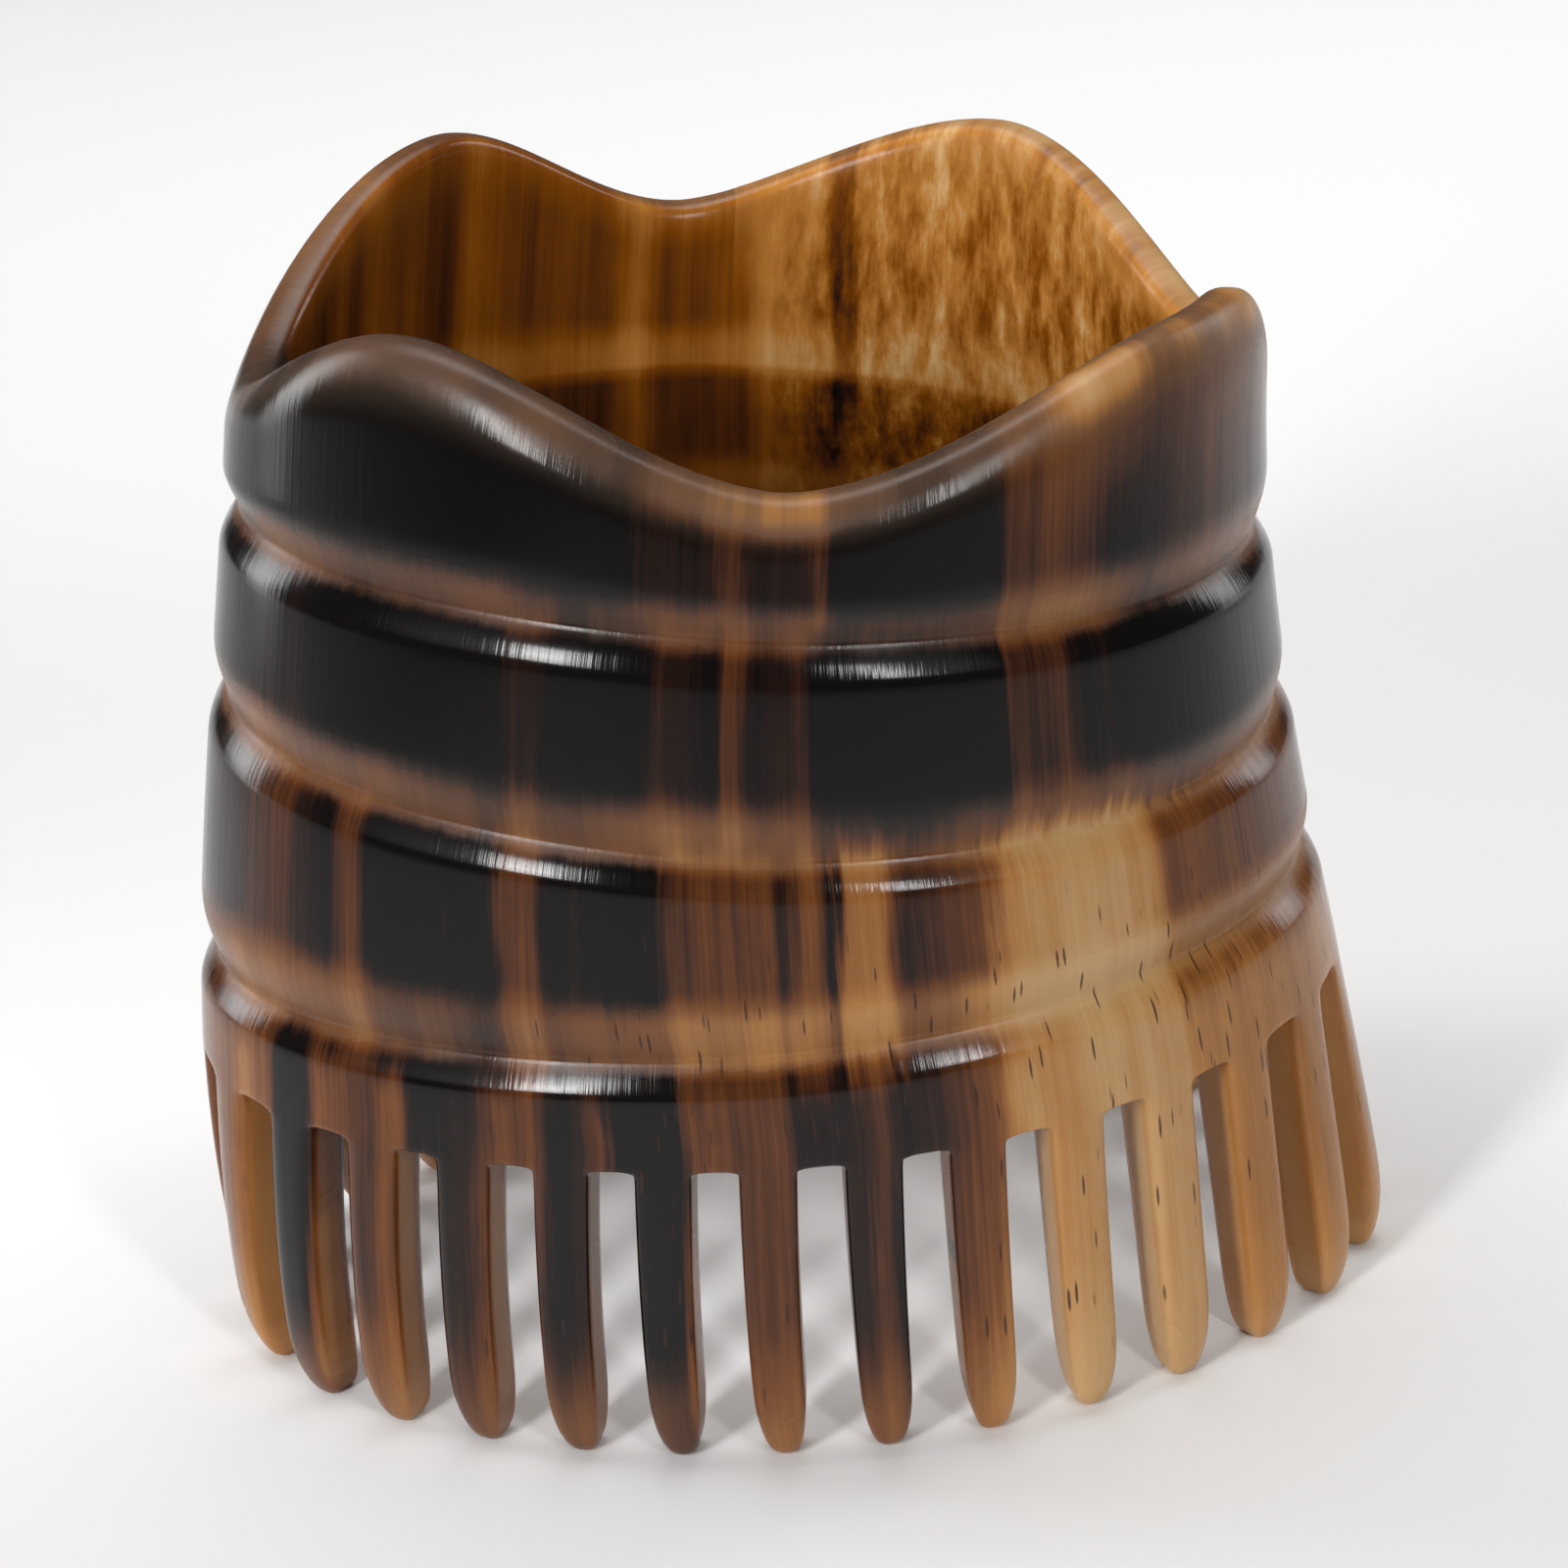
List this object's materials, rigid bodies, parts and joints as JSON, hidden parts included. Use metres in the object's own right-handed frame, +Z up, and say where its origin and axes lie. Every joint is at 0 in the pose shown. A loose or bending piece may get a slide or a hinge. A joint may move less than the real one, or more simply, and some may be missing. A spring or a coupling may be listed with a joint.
{
  "type": "beard comb",
  "caption": "Ring-shaped beard comb carved from a hollow slice of polished horn: a wavy upper rim, grooves running all round, and comb teeth cut into the lower edge.",
  "frame": {"origin": "centre of the bounding box's base, on the surface that the tooth tips stand on", "axes": "+Z up, from the tooth tips to the wavy rim; +X across the ring's wider way, to the right in front view; -Y towards the front, the flatter long side"},
  "size_m": [0.0726, 0.0538, 0.0697],
  "materials": {
    "horn": "high-polished natural horn, black-brown with amber and blond streaks"
  },
  "bodies": {
    "root": {"horn_comb": "horn"}
  },
  "joints": []
}
